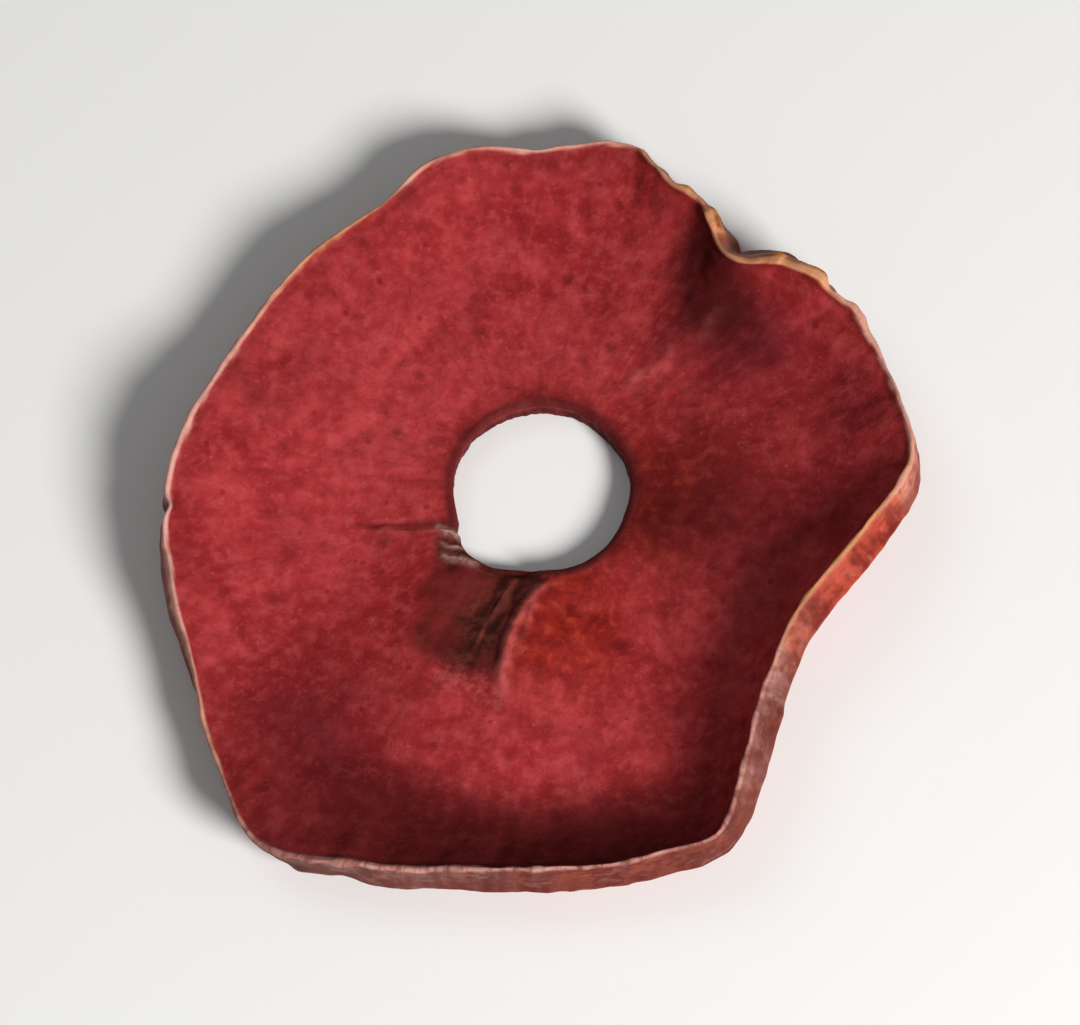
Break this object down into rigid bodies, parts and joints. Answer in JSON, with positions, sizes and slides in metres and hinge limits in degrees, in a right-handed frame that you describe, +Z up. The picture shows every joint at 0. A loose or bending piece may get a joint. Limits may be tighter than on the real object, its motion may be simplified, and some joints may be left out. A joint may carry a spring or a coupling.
{
  "type": "dried apple slice",
  "caption": "Cored ring of dried red-fleshed apple with its peel on: a thin leathery sheet, gently waved in the middle, with an unevenly curled-up rim and an open seed pocket.",
  "frame": {"origin": "centre of the bounding box in plan, at the lowest face, where the slice rests", "axes": "+Z up, across the thickness of the sheet, cut face up and rim curled upwards; +Y along the longest way across the slice, away from the near edge; +X to the right, towards the standing flap"},
  "size_m": [0.064, 0.0684, 0.0083],
  "materials": {
    "dried_apple": "dry leathery fruit flesh, crimson with orange round the core, suede-like grain, matt with a faint waxy sheen; golden to mauve-brown wrinkled peel on the outer edge"
  },
  "bodies": {
    "root": {"apple_slice": "dried_apple"}
  },
  "joints": []
}
